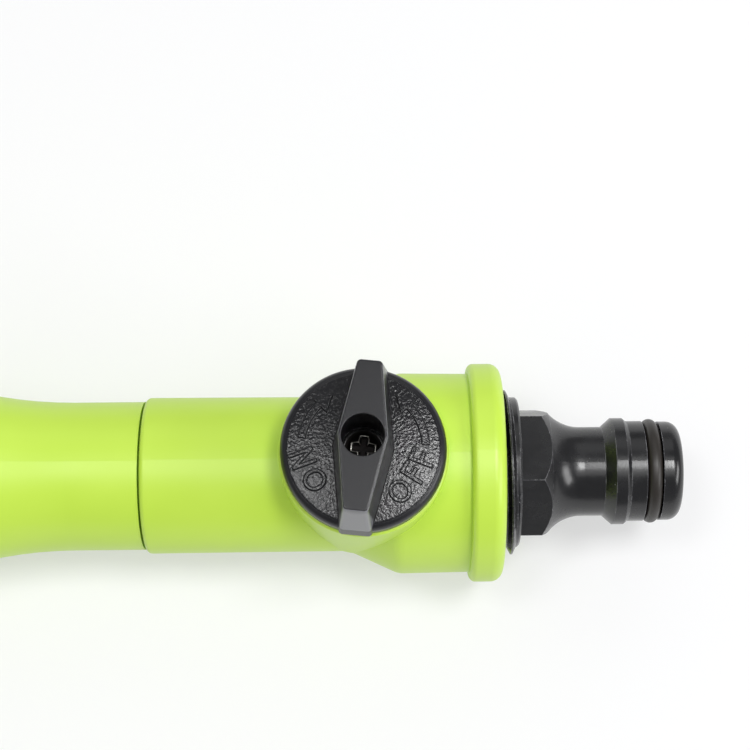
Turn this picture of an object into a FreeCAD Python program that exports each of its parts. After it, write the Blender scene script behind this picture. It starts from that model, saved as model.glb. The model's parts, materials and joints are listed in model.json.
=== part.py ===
import FreeCAD, Part
import math
import os
import re

import Sketcher
from FreeCAD import Placement, Rotation, Vector

# A garden watering wand: quick connector, quarter-turn ball valve, moulded handle, bent neck and shower rose.
# Row frame: +X runs along the wand towards the hose, +Z up through the valve knob, floor at z = 0.
# Pieces on the wand's axis are drawn in a valve frame, whose origin is where that axis meets the knob's.
# Pieces of the rose are drawn along their own +Z, which starts at the end of the neck's bend.

DIMENSIONS = [
    # placing
    ("valve_x", 138.9, "row frame x of the knob's axis"),
    ("axis_height", 17.5, "wand's axis above the floor"),
    ("knob_turn", -6.0, "knob as it stands, just short of shut"),
    # valve body
    ("sleeve_end", 34.85, "knob axis to the sleeve's mouth"),
    ("sleeve_mouth", 12.52, "sleeve radius at its mouth"),
    ("sleeve_root", 12.40, "sleeve radius at the flare"),
    ("sleeve_bore", 10.2, "radius of the socket for the handle"),
    ("sleeve_stop", 14.0, "knob axis to that socket's floor"),
    ("flare_start", 2.6, "start of the flare, towards the handle"),
    ("flare_end", 5.3, "end of the flare, towards the hose"),
    ("inlet_root", 16.08, "inlet barrel radius at the flare"),
    ("inlet_tip", 15.92, "inlet barrel radius at the flange"),
    ("flange_radius", 17.5, "flange radius"),
    ("flange_start", 16.6, "flange back face"),
    ("inlet_face", 21.9, "flange front face"),
    ("socket_radius", 13.3, "threaded socket, clear of the male crests"),
    ("socket_floor", 12.9, "floor of the threaded socket"),
    ("chamber_radius", 8.3, "ball chamber"),
    ("chamber_end", 7.9, "chamber wall on the handle side"),
    ("port_radius", 4.5, "water way through the valve"),
    ("boss_radius", 13.04, "round boss under the knob"),
    ("boss_top", 17.0, "boss face above the wand's axis"),
    ("recess_radius", 6.2, "recess for the knob's hub"),
    ("recess_floor", 13.4, "floor of that recess"),
    ("stem_bore", 3.55, "bore for the stem"),
    ("pocket_radius", 4.8, "pocket for the stem's collar"),
    ("pocket_top", 9.95, "top of that pocket"),
    ("stop_radius", 9.4, "radius at which the stop pin travels"),
    ("stop_slot", 1.6, "half width of the stop's arc slot"),
    ("stop_depth", 2.6, "depth of the stop's arc slot"),
    # ball and seats
    ("ball_radius", 7.6, "ball"),
    ("slot_width", 3.0, "slot in the ball for the stem's tang"),
    ("slot_floor", 5.6, "floor of that slot"),
    ("seat_start", 3.9, "seat face next to the ball"),
    ("seat_radius", 8.2, "seat outer radius"),
    ("seat_hollow", 7.65, "spherical hollow of the seats"),
    ("carrier_flange", 12.6, "seat carrier's flange radius"),
    ("carrier_thick", 1.6, "seat carrier's flange thickness"),
    ("gasket_thick", 2.0, "inlet gasket thickness"),
    # stem and knob
    ("stem_radius", 3.5, "stem"),
    ("stem_collar", 4.6, "stem collar radius"),
    ("collar_floor", 8.55, "underside of the stem's collar"),
    ("collar_top", 9.85, "top of the stem's collar"),
    ("square_side", 4.8, "stem's square drive"),
    ("square_top", 16.3, "top of the square drive"),
    ("ring_wire", 1.1, "section diameter of the stem's o-rings"),
    ("knob_radius", 12.65, "knob disc"),
    ("disc_floor", 17.2, "underside of the knob disc"),
    ("disc_top", 19.7, "face of the knob disc"),
    ("disc_round", 1.1, "rounding of the knob disc's edge"),
    ("hub_radius", 5.9, "knob hub"),
    ("hub_floor", 13.6, "underside of the knob hub"),
    ("lever_top", 29.0, "top of the lever"),
    ("lever_foot", 17.8, "foot of the lever"),
    ("screw_seat", 17.9, "seat of the screw's head"),
    ("screw_well", 3.2, "radius of the well for the screw's head"),
    ("screw_shank", 1.5, "screw shank radius"),
    ("screw_head", 2.85, "screw head radius"),
    ("screw_rise", 2.2, "screw head height"),
    ("screw_tip", 10.2, "tip of the screw"),
    ("mark_rise", 0.22, "height of the raised marks"),
    ("mark_stroke", 0.55, "stroke width of the raised letters"),
    ("mark_height", 3.85, "height of the raised letters"),
    ("arrow_radius", 9.4, "radius of the curved arrows"),
    # hose connector
    ("spigot_face", 16.55, "end face of the threaded spigot"),
    ("thread_core", 12.06, "core radius of the pipe thread"),
    ("thread_crest", 13.22, "crest radius of the pipe thread"),
    ("thread_pitch", 1.814, "14 threads per inch"),
    ("hex_start", 24.6, "hexagon, valve side"),
    ("hex_length", 5.0, "hexagon length"),
    ("hex_flats", 19.0, "hexagon across flats"),
    ("hex_turn", 48.0, "angle of a hexagon corner from +Y"),
    ("neck_arc", 7.0, "radius of the hollow between hexagon and neck"),
    ("nipple_neck", 7.14, "neck that the hose connector's claws hold"),
    ("neck_end", 38.1, "end of that neck"),
    ("shoulder_start", 39.7, "locking shoulder, start"),
    ("shoulder_end", 41.5, "locking shoulder, end"),
    ("shoulder_radius", 8.55, "locking shoulder radius"),
    ("land_radius", 8.04, "land between shoulder and o-ring"),
    ("groove_start", 44.6, "o-ring groove, start"),
    ("groove_end", 47.2, "o-ring groove, end"),
    ("groove_radius", 6.0, "o-ring groove floor"),
    ("nose_radius", 7.92, "nose"),
    ("nose_tip", 50.5, "nose face"),
    ("nose_round", 2.0, "rounding of the nose"),
    ("nipple_bore", 4.6, "bore of the connector"),
    ("nose_ring_wire", 2.34, "section diameter of the nose's o-ring"),
    # handle
    ("handle_gap", 0.3, "seam between the sleeve and the handle"),
    ("waist_radius", 11.9, "handle waist"),
    ("waist_end", 46.5, "end of the straight waist"),
    ("swell_arc", 68.0, "radius of the two arcs that swell the grip"),
    ("swell_angle", 15.0, "turn of each of those arcs"),
    ("handle_end", 182.0, "knob axis to the handle's front end"),
    ("handle_tip", 14.3, "handle radius at that end"),
    ("spigot_radius", 10.1, "spigot glued into the sleeve"),
    ("handle_bore", 12.2, "wide bore"),
    ("waist_bore", 7.5, "narrow bore"),
    # front collar and neck
    ("collar_end", 199.0, "front end of the collar"),
    ("collar_tip", 10.6, "collar radius at that end"),
    ("collar_inside", 170.0, "inner end of the collar's spigot"),
    ("tube_radius", 9.0, "neck tube"),
    ("tube_bore", 7.0, "neck tube bore"),
    ("tube_fit", 0.05, "gap round the tube in its sockets"),
    ("tube_start", 176.2, "inner end of the neck tube"),
    ("bend_start", 250.0, "start of the neck's bend"),
    ("bend_radius", 46.2, "radius of the neck's bend"),
    ("head_tilt", 35.0, "turn of the neck's bend"),
    ("tube_tail", 9.5, "straight tube past the bend"),
    # rose, along its own axis from the end of the bend
    ("head_socket", 11.4, "radius of the shell's socket"),
    ("dome_arc", 6.0, "hollow arc at the root of the dome"),
    ("dome_slope", 12.0, "slope of the dome"),
    ("dome_round", 5.0, "rounding of the dome into the rim"),
    ("rim_radius", 44.0, "shell rim"),
    ("shell_wall", 2.4, "shell wall"),
    ("rim_face", 27.0, "end face of the shell's rim"),
    ("seal_thick", 1.2, "rose gasket thickness"),
    ("ring_radius", 46.0, "screw ring"),
    ("ring_back", 21.26, "screw ring, back edge"),
    ("ring_front", 32.0, "screw ring, front edge"),
    ("ring_round", 1.0, "rounding of the screw ring"),
    ("ring_lip", 39.6, "inner radius of the screw ring's lip"),
    ("plate_edge", 43.4, "rose plate radius"),
    ("plate_rise", 3.2, "rise of the rose plate's dome"),
    ("plate_face", 38.9, "radius of the domed face"),
    ("plate_thick", 2.0, "rose plate thickness"),
    ("jet_radius", 0.65, "spray hole"),
    ("nub_radius", 1.35, "nub round each spray hole"),
    ("nub_rise", 0.7, "height of the nubs at the plate's edge"),
]
ROSE_RINGS = [(6.0, 6), (12.0, 12), (18.0, 18), (24.0, 24), (30.0, 30), (35.4, 36)]
GRIP_RIBS = 48
LEVER_TOP = [(3.7, 0.0), (1.95, 11.3)]
LEVER_FOOT = [(4.85, 0.0), (2.6, 13.05)]
LEVER_CORNER = 0.7
QUARTER_TURN = 90

doc = FreeCAD.newDocument("watering_wand")
sheet = doc.addObject("Spreadsheet::Sheet", "dims")
for row, (alias, number, note) in enumerate(DIMENSIONS, start=1):
    sheet.set(f"A{row}", note)
    sheet.set(f"B{row}", str(number))
    sheet.setAlias(f"B{row}", alias)
doc.recompute()
ALIASES = {alias for alias, _, _ in DIMENSIONS}
pieces = []


def cell(text):
    """An expression on the sheet's aliases, with each alias given its sheet."""
    return re.sub(r"[a-z][a-z_]*", lambda m: f"dims.{m.group()}" if m.group() in ALIASES else m.group(), str(text))


def value(text):
    """What such an expression comes to now."""
    return float(sheet.evalExpression(cell(text)))


def place_on_axis(piece):
    """Moves a piece from the valve frame to the row frame."""
    piece.setExpression("Placement.Base.x", cell("valve_x"))
    piece.setExpression("Placement.Base.z", cell("axis_height"))


def place_on_knob(piece):
    """Moves a piece that turns with the knob, turned as the knob stands."""
    place_on_axis(piece)
    piece.Placement.Rotation = Rotation(Vector(0, 0, 1), value("knob_turn"))
    piece.setExpression("Placement.Rotation.Angle", cell("knob_turn"))


def place_on_rose(piece):
    """Moves a piece of the rose from its own axis to the row frame."""
    piece.Placement.Rotation = Rotation(Vector(0, 1, 0), value("head_tilt - 90"))
    piece.setExpression("Placement.Rotation.Angle", cell("head_tilt - 90"))
    piece.setExpression("Placement.Base.x", cell("valve_x - bend_start - bend_radius * sin(head_tilt)"))
    piece.setExpression("Placement.Base.z", cell("axis_height + bend_radius * (1 - cos(head_tilt))"))


def new_body(label, place=place_on_axis):
    body = doc.addObject("PartDesign::Body", label)
    body.Label = label
    place(body)
    pieces.append(body)
    return body


def new_sketch(body, name, plane="XZ_Plane", lift="0", turn="0"):
    """A sketch on one of the body's origin planes, lifted along the plane's normal and turned in it."""
    sketch = body.newObject("Sketcher::SketchObject", name)
    support = next(f for f in body.Origin.OriginFeatures if f.Role == plane)
    sketch.AttachmentSupport = [(support, "")]
    sketch.MapMode = "FlatFace"
    sketch.AttachmentOffset = Placement(Vector(0, 0, value(lift)), Rotation(Vector(0, 0, 1), value(turn)))
    sketch.setExpression("AttachmentOffset.Base.z", cell(lift))
    return sketch


def bind(sketch, kind, where, text):
    """One dimension of a sketch, bound to the sheet."""
    index = sketch.addConstraint(Sketcher.Constraint(kind, *where, value(text)))
    sketch.setExpression(f"Constraints[{index}]", cell(text))


def arc_between(start, end, radius, turn):
    """The short arc from start to end, anticlockwise when turn is 1."""
    chord = end - start
    side = Vector(-chord.y, chord.x, 0).normalize() * turn
    centre = (start + end) * 0.5 + side * math.sqrt(radius**2 - (chord.Length / 2) ** 2)
    first, last = (start, end) if turn > 0 else (end, start)
    angles = [math.atan2(p.y - centre.y, p.x - centre.x) for p in (first, last)]
    return Part.ArcOfCircle(Part.Circle(centre, Vector(0, 0, 1), radius), *angles)


def draw(sketch, corners):
    """A closed outline. A corner is (x, y), or (x, y, radius, turn) where an arc leads on to the next one."""
    first_edge = sketch.GeometryCount
    points = [Vector(value(c[0]), value(c[1]), 0) for c in corners]
    count = len(corners)
    ends = []
    for i, corner in enumerate(corners):
        start, end = points[i], points[(i + 1) % count]
        if len(corner) == 2:
            sketch.addGeometry(Part.LineSegment(start, end))
            ends.append((1, 2))
        else:
            sketch.addGeometry(arc_between(start, end, value(corner[2]), corner[3]))
            ends.append((1, 2) if corner[3] > 0 else (2, 1))
    for i, corner in enumerate(corners):
        this, after = first_edge + i, first_edge + (i + 1) % count
        sketch.addConstraint(Sketcher.Constraint("Coincident", this, ends[i][1], after, ends[(i + 1) % count][0]))
        bind(sketch, "DistanceX", (-1, 1, this, ends[i][0]), corner[0])
        bind(sketch, "DistanceY", (-1, 1, this, ends[i][0]), corner[1])
        if len(corner) == 4:
            bind(sketch, "Radius", (this,), corner[2])


def draw_circle(sketch, radius, x="0", y="0"):
    index = sketch.addGeometry(Part.Circle(Vector(value(x), value(y), 0), Vector(0, 0, 1), value(radius)))
    bind(sketch, "Radius", (index,), radius)
    bind(sketch, "DistanceX", (-1, 1, index, 3), x)
    bind(sketch, "DistanceY", (-1, 1, index, 3), y)


def spin(body, name, corners, cut=False, axis="H_Axis", plane="XZ_Plane"):
    """A turned solid, or a turned cut, about a sketch axis."""
    sketch = new_sketch(body, name + "_outline", plane)
    draw(sketch, corners)
    feature = body.newObject("PartDesign::Groove" if cut else "PartDesign::Revolution", name)
    feature.Profile = sketch
    feature.ReferenceAxis = (sketch, [axis])
    feature.Angle = 360
    return feature


def pad(body, name, sketch, length):
    feature = body.newObject("PartDesign::Pad", name)
    feature.Profile = sketch
    feature.setExpression("Length", cell(length))
    return feature


def pocket(body, name, sketch, depth, both_ways=False):
    """A cut that runs against the sketch's normal, or half of it each way."""
    feature = body.newObject("PartDesign::Pocket", name)
    feature.Profile = sketch
    feature.setExpression("Length", cell(depth))
    if both_ways:
        feature.SideType = "Symmetric"
    return feature


def round_pocket(body, name, radius, top, floor):
    sketch = new_sketch(body, name + "_circle", "XY_Plane", top)
    draw_circle(sketch, radius)
    return pocket(body, name, sketch, f"({top}) - ({floor})")


def rounded(body, name, base, radius, wanted, kind="PartDesign::Fillet"):
    """A fillet or chamfer on the edges of base that wanted() picks."""
    doc.recompute()
    picked = [f"Edge{i}" for i, edge in enumerate(base.Shape.Edges, start=1) if wanted(edge)]
    if not picked:
        raise ValueError(f"{body.Label}: {name} found no edge")
    feature = body.newObject(kind, name)
    feature.Base = (base, picked)
    feature.setExpression("Radius" if kind.endswith("Fillet") else "Size", cell(radius))
    return feature


def circle_at(along, position, radius):
    """Picks circular edges of that radius, at that place along an axis of the body's own frame."""

    def wanted(edge):
        curve = edge.Curve
        return (
            isinstance(curve, Part.Circle)
            and abs(getattr(curve.Center, along) - value(position)) < 0.02
            and abs(curve.Radius - value(radius)) < 0.02
        )

    return wanted


def repeated(body, name, originals, count, axis=("Z_Axis",)):
    """The same features again, evenly round an axis of the body."""
    feature = body.newObject("PartDesign::PolarPattern", name)
    feature.Originals = originals
    feature.Axis = (next(f for f in body.Origin.OriginFeatures if f.Role == axis[0]), [""])
    feature.Angle = 360
    feature.Occurrences = count
    body.Tip = feature
    return feature


def torus(label, place, centre, ring_radius, wire, lengthwise=True):
    """An o-ring round the wand's axis, or round its own Z."""
    body = new_body(label, place)
    for i, spot in enumerate(centre):
        sketch = new_sketch(body, f"section_{i}")
        if lengthwise:
            draw_circle(sketch, f"({wire}) / 2", spot, ring_radius)
        else:
            draw_circle(sketch, f"({wire}) / 2", ring_radius, spot)
        feature = body.newObject("PartDesign::Revolution", f"ring_{i}")
        feature.AllowMultiFace = True
        feature.Profile = sketch
        feature.ReferenceAxis = (sketch, ["H_Axis" if lengthwise else "V_Axis"])
        feature.Angle = 360
    return body


def washer(label, place, inner, outer, start, end, lengthwise=True):
    """A flat ring round the wand's axis, or round its own Z."""
    corners = [(start, inner), (end, inner), (end, outer), (start, outer)]
    if not lengthwise:
        corners = [(y, x) for x, y in corners][::-1]
    body = new_body(label, place)
    spin(body, "ring", corners, axis="H_Axis" if lengthwise else "V_Axis")
    return body


def make_valve_body():
    """Green shell: sleeve, flare, inlet barrel with flange, and the round boss for the knob."""
    body = new_body("valve_body")
    barrel = spin(body, "barrel", [
        ("-sleeve_end", "0"),
        ("inlet_face", "0"),
        ("inlet_face", "flange_radius"),
        ("flange_start", "flange_radius"),
        ("flange_start", "inlet_tip"),
        ("flare_end", "inlet_root"),
        ("-flare_start", "sleeve_root"),
        ("-sleeve_end", "sleeve_mouth"),
    ])
    last = rounded(body, "flange_front", barrel, "1.9", circle_at("x", "inlet_face", "flange_radius"))
    last = rounded(body, "flange_back", last, "1.0", circle_at("x", "flange_start", "flange_radius"))
    last = rounded(body, "flare_round", last, "4.0", circle_at("x", "flare_end", "inlet_root"))
    last = rounded(body, "sleeve_round", last, "0.8", circle_at("x", "-sleeve_end", "sleeve_mouth"))
    boss = new_sketch(body, "boss_circle", "XY_Plane")
    draw_circle(boss, "boss_radius")
    last = pad(body, "boss", boss, "boss_top")
    last = rounded(body, "boss_round", last, "0.45", circle_at("z", "boss_top", "boss_radius"))
    spin(body, "water_way", [
        ("-sleeve_end - 1", "0"),
        ("inlet_face + 1", "0"),
        ("inlet_face + 1", "socket_radius"),
        ("socket_floor", "socket_radius"),
        ("socket_floor", "chamber_radius"),
        ("-chamber_end", "chamber_radius"),
        ("-chamber_end", "port_radius"),
        ("-sleeve_stop", "port_radius"),
        ("-sleeve_stop", "sleeve_bore"),
        ("-sleeve_end - 1", "sleeve_bore"),
    ], cut=True)
    round_pocket(body, "hub_recess", "recess_radius", "boss_top", "recess_floor")
    round_pocket(body, "stem_hole", "stem_bore", "recess_floor", "slot_floor")
    round_pocket(body, "collar_pocket", "pocket_radius", "pocket_top", "slot_floor")
    slot = new_sketch(body, "stop_arc", "XY_Plane", "boss_top")
    near, far = "stop_radius - stop_slot", "stop_radius + stop_slot"
    # the pin stands at +X with the valve shut and travels clockwise to -Y, with a little room past each end
    first, last_angle = 1.2, -QUARTER_TURN - 1.2
    ends = [(f"({r}) * cos({a})", f"({r}) * sin({a})") for r, a in
            [(near, last_angle), (near, first), (far, first), (far, last_angle)]]
    draw(slot, [
        (*ends[0], near, 1),
        (*ends[1], "stop_slot * 1.001", -1),
        (*ends[2], far, -1),
        (*ends[3], "stop_slot * 1.001", -1),
    ])
    pocket(body, "stop_arc_slot", slot, "stop_depth")


def make_connector():
    """Black quick connector with a male pipe thread, hexagon, locking neck, shoulder and nose."""
    body = new_body("hose_connector")
    corner = "(hex_flats / 2 / cos(30))"
    spin(body, "turned", [
        ("spigot_face", "nipple_bore + 4.2"),
        ("hex_start - 2.2", "nipple_bore + 4.2"),
        ("hex_start + 3.4", "nipple_bore"),
        ("nose_tip", "nipple_bore"),
        ("nose_tip", "nose_radius - nose_round", "nose_round", 1),
        ("nose_tip - nose_round", "nose_radius"),
        ("groove_end", "nose_radius"),
        ("groove_end", "groove_radius"),
        ("groove_start", "groove_radius"),
        ("groove_start", "land_radius"),
        ("shoulder_end + 0.6", "land_radius"),
        ("shoulder_end", "shoulder_radius"),
        ("shoulder_start", "shoulder_radius"),
        ("neck_end", "nipple_neck"),
        ("hex_start + hex_length + 5.2", "nipple_neck", "neck_arc", -1),
        ("hex_start + hex_length", "nipple_neck + neck_arc - sqrt(neck_arc ^ 2 - 5.2 ^ 2)"),
        ("hex_start + hex_length", "hex_flats / 2"),
        ("hex_start + hex_length - 1.47", corner),
        ("hex_start", corner),
        ("hex_start", "thread_core - 0.3"),
        ("hex_start - 0.3", "thread_core"),
        ("spigot_face", "thread_core"),
    ])
    flats = new_sketch(body, "hexagon", "YZ_Plane", "hex_start")
    corners = []
    for i in range(6):
        angle = f"hex_turn + {60 * i}"
        corners.append((f"{corner} * cos({angle})", f"{corner} * sin({angle})"))
    draw(flats, corners)
    draw_circle(flats, "thread_crest")
    cut = pocket(body, "flats", flats, "hex_length")
    cut.Reversed = True
    # one helical ridge, with a flat crest and 55 degree flanks
    ridge = new_sketch(body, "ridge_outline")
    start = "spigot_face + 0.95"
    draw(ridge, [
        (f"{start} - 0.78", "thread_core - 0.1"),
        (f"{start} + 0.78", "thread_core - 0.1"),
        (f"{start} + 0.14", "thread_crest"),
        (f"{start} - 0.14", "thread_crest"),
    ])
    thread = body.newObject("PartDesign::AdditiveHelix", "thread")
    thread.Profile = ridge
    thread.ReferenceAxis = (ridge, ["H_Axis"])
    thread.Mode = 0
    thread.setExpression("Pitch", cell("thread_pitch"))
    thread.setExpression("Height", cell("thread_pitch * 3.45"))
    return body


def make_ball():
    """Ball with its water way across the flow, so the valve is shut, and a slot for the stem's tang."""
    body = new_body("valve_ball", place_on_knob)
    spin(body, "sphere", [("0", "-ball_radius", "ball_radius", 1), ("ball_radius", "0", "ball_radius", 1),
                          ("0", "ball_radius")], axis="V_Axis")
    way = new_sketch(body, "way_circle", "XZ_Plane")
    draw_circle(way, "port_radius")
    pocket(body, "way", way, "ball_radius * 3", both_ways=True)
    slot = new_sketch(body, "slot_outline", "XY_Plane", "ball_radius + 1")
    draw_box(slot, "ball_radius + 1", "slot_width / 2")
    pocket(body, "slot", slot, "ball_radius + 1 - slot_floor")


def draw_box(sketch, half_x, half_y):
    draw(sketch, [(f"-({half_x})", f"-({half_y})"), (half_x, f"-({half_y})"), (half_x, half_y),
                  (f"-({half_x})", half_y)])


def make_seat(label, side):
    """Plastic seat ring with a spherical hollow that meets the ball. side is 1 for the hose side."""
    body = new_body(label)
    start, end = "seat_start", "chamber_end"
    near = "sqrt(seat_hollow ^ 2 - seat_start ^ 2)"
    deep = "sqrt(seat_hollow ^ 2 - (port_radius + 0.1) ^ 2)"
    sign = "" if side > 0 else "-"
    spin(body, "ring", [
        (f"{sign}{deep}", "port_radius + 0.1"),
        (f"{sign}{end}", "port_radius + 0.1"),
        (f"{sign}{end}", "seat_radius"),
        (f"{sign}{start}", "seat_radius"),
        (f"{sign}{start}", near, "seat_hollow", -side),
    ])


def make_seat_carrier():
    """Ring that holds the inlet seat and ball in, with a flange on the socket's floor and an o-ring groove."""
    body = new_body("seat_carrier")
    spin(body, "ring", [
        ("chamber_end + 0.02", "port_radius + 0.3"),
        ("socket_floor + carrier_thick", "port_radius + 0.3"),
        ("socket_floor + carrier_thick", "carrier_flange"),
        ("socket_floor", "carrier_flange"),
        ("socket_floor", "chamber_radius - 0.05"),
        ("socket_floor - 0.9", "chamber_radius - 0.05"),
        ("socket_floor - 0.9", "chamber_radius - 1.25"),
        ("socket_floor - 2.5", "chamber_radius - 1.25"),
        ("socket_floor - 2.5", "chamber_radius - 0.05"),
        ("chamber_end + 0.02", "chamber_radius - 0.05"),
    ])


def make_stem():
    """Stem that turns the ball: tang, collar, shaft with two o-ring grooves, and a square for the knob."""
    body = new_body("valve_stem", place_on_knob)
    groove = "stem_radius - 1.1"
    spin(body, "shaft", [
        ("0", "collar_floor"),
        ("stem_collar", "collar_floor"),
        ("stem_collar", "collar_top"),
        ("stem_radius", "collar_top"),
        ("stem_radius", "10.2"),
        (groove, "10.2"),
        (groove, "11.4"),
        ("stem_radius", "11.4"),
        ("stem_radius", "11.9"),
        (groove, "11.9"),
        (groove, "13.1"),
        ("stem_radius", "13.1"),
        ("stem_radius", "recess_floor"),
        ("0", "recess_floor"),
    ], axis="V_Axis")
    square = new_sketch(body, "square_outline", "XY_Plane", "recess_floor")
    draw_box(square, "square_side / 2", "square_side / 2")
    pad(body, "square", square, "square_top - recess_floor")
    tang = new_sketch(body, "tang_outline", "XY_Plane", "slot_floor + 0.1")
    draw_box(tang, "3.3", "slot_width / 2 - 0.05")
    pad(body, "tang", tang, "collar_floor - slot_floor - 0.1")
    round_pocket(body, "pilot", "screw_shank + 0.03", "square_top", "screw_tip - 0.4")


def make_knob():
    """Black knob: rounded disc, tapered lever, screw well, hub with a square socket, stop pin and raised marks."""
    body = new_body("valve_knob", place_on_knob)
    disc = spin(body, "disc", [
        ("0", "hub_floor"),
        ("hub_radius", "hub_floor"),
        ("hub_radius", "disc_floor"),
        ("knob_radius", "disc_floor"),
        ("knob_radius", "disc_top"),
        ("0", "disc_top"),
    ], axis="V_Axis")
    rounded(body, "disc_edge", disc, "disc_round", circle_at("z", "disc_top", "knob_radius"))
    sections = []
    for name, lift, ((wide, _), (end, reach)) in (("foot", "lever_foot", LEVER_FOOT), ("top", "lever_top", LEVER_TOP)):
        sketch = new_sketch(body, f"lever_{name}", "XY_Plane", lift)
        inset, square = end - LEVER_CORNER, reach - LEVER_CORNER
        draw(sketch, [
            (wide, 0),
            (end, square, LEVER_CORNER, 1),
            (inset, reach),
            (-inset, reach, LEVER_CORNER, 1),
            (-end, square),
            (-wide, 0),
            (-end, -square, LEVER_CORNER, 1),
            (-inset, -reach),
            (inset, -reach, LEVER_CORNER, 1),
            (end, -square),
        ])
        sections.append(sketch)
    lever = body.newObject("PartDesign::AdditiveLoft", "lever")
    lever.Profile = sections[0]
    lever.Sections = [sections[1]]
    lever.Ruled = True
    rounded(body, "lever_edges", lever, "0.3", lambda e: e.BoundBox.ZMin > value("lever_top") - 0.02)
    round_pocket(body, "screw_hole", "screw_well", "lever_top", "screw_seat")
    round_pocket(body, "shank_hole", "screw_shank + 0.3", "screw_seat", "hub_floor")
    socket = new_sketch(body, "socket_outline", "XY_Plane", "square_top + 0.1")
    draw_box(socket, "square_side / 2 + 0.05", "square_side / 2 + 0.05")
    pocket(body, "square_socket", socket, "square_top + 0.1 - hub_floor")
    pin = new_sketch(body, "stop_circle", "XY_Plane", "boss_top - stop_depth + 0.3")
    draw_circle(pin, "stop_slot - 0.15", "stop_radius", "0")
    pad(body, "stop_pin", pin, "disc_floor - boss_top + stop_depth")
    make_marks(body)


def raised(body, name, sketch):
    pad(body, name, sketch, "mark_rise")


def letter_sketch(body, name, radius, angle, up):
    """A sketch at a place on the disc, turned so that the letter's head points along the angle up."""
    sketch = new_sketch(body, name, "XY_Plane", "disc_top", str(up - 90))
    sketch.setExpression("AttachmentOffset.Base.x", f"{radius} * cos({angle})")
    sketch.setExpression("AttachmentOffset.Base.y", f"{radius} * sin({angle})")
    return sketch


def letter_o(body, name, radius, angle, up):
    """An O with round ends and straight sides."""
    sketch = letter_sketch(body, name, radius, angle, up)
    side = "(mark_height / 2 - 1.6)"
    for wide in ("1.6", "(1.6 - mark_stroke)"):
        draw(sketch, [
            (wide, f"-{side}"),
            (wide, side, f"{wide} * 1.01", 1),
            (f"-{wide}", side),
            (f"-{wide}", f"-{side}", f"{wide} * 1.01", 1),
        ])
    raised(body, name + "_face", sketch)


def letter_n(body, name, radius, angle, up):
    sketch = letter_sketch(body, name, radius, angle, up)
    half, top, bar = "1.25", "mark_height / 2", "mark_stroke"
    draw(sketch, [
        (f"-{half}", f"-{top}"),
        (f"{bar} - {half}", f"-{top}"),
        (f"{bar} - {half}", f"{top} - {bar} * 2"),
        (f"{half} - {bar}", f"-{top}"),
        (half, f"-{top}"),
        (half, top),
        (f"{half} - {bar}", top),
        (f"{half} - {bar}", f"{bar} * 2 - {top}"),
        (f"{bar} - {half}", top),
        (f"-{half}", top),
    ])
    raised(body, name + "_face", sketch)


def letter_f(body, name, radius, angle, up):
    sketch = letter_sketch(body, name, radius, angle, up)
    half, top, bar = "1.05", "mark_height / 2", "mark_stroke"
    draw(sketch, [
        (f"-{half}", f"-{top}"),
        (f"{bar} - {half}", f"-{top}"),
        (f"{bar} - {half}", "-0.25"),
        (f"{half} - 0.3", "-0.25"),
        (f"{half} - 0.3", f"{bar} - 0.25"),
        (f"{bar} - {half}", f"{bar} - 0.25"),
        (f"{bar} - {half}", f"{top} - {bar}"),
        (half, f"{top} - {bar}"),
        (half, top),
        (f"-{half}", top),
    ])
    raised(body, name + "_face", sketch)


def arrow(body, name, tail, barb, tip, turn):
    """A curved arrow that runs round the knob's axis from the angle tail to the angle tip."""
    sketch = new_sketch(body, name, "XY_Plane", "disc_top")
    inner, outer = "arrow_radius - 0.5", "arrow_radius + 0.6"
    spots = [(inner, tail), (outer, tail), (outer, barb), ("arrow_radius + 1.5", barb), ("arrow_radius", tip),
             ("arrow_radius - 1.6", barb), (inner, barb)]
    corners = [(f"({r}) * cos({a})", f"({r}) * sin({a})") for r, a in spots]
    corners[1] = (*corners[1], outer, turn)
    corners[6] = (*corners[6], inner, -turn)
    draw(sketch, corners)
    raised(body, name + "_face", sketch)


def make_marks(body):
    """ON on the left with a clockwise arrow, OFF on the right with an anticlockwise one."""
    letter_o(body, "on_o", 8.78, 219.5, 221)
    letter_n(body, "on_n", 9.3, 195.5, 206)
    letter_o(body, "off_o", 8.64, 315.2, 138)
    letter_f(body, "off_f_one", 8.5, 339, 153)
    letter_f(body, "off_f_two", 9.05, 356, 164)
    arrow(body, "on_arrow", 176, 141, 125, -1)
    arrow(body, "off_arrow", 8, 48, 63, 1)


def make_knob_screw():
    """Round head screw with a wide cross recess."""
    body = new_body("knob_screw", place_on_knob)
    spin(body, "turned", [
        ("0", "screw_tip"),
        ("screw_shank - 0.7", "screw_tip"),
        ("screw_shank", "screw_tip + 1.2"),
        ("screw_shank", "screw_seat"),
        ("screw_head", "screw_seat"),
        ("screw_head", "screw_seat + screw_rise - 1.2", "4.0", 1),
        ("0", "screw_seat + screw_rise"),
    ], axis="V_Axis")
    top = "screw_seat + screw_rise"
    for name, along, across in (("wing_x", "1.95", "0.78"), ("wing_y", "0.78", "1.95")):
        sketch = new_sketch(body, name, "XY_Plane", top)
        draw_box(sketch, along, across)
        cut = pocket(body, name + "_cut", sketch, "1.3")
        cut.TaperAngle = -18


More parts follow.
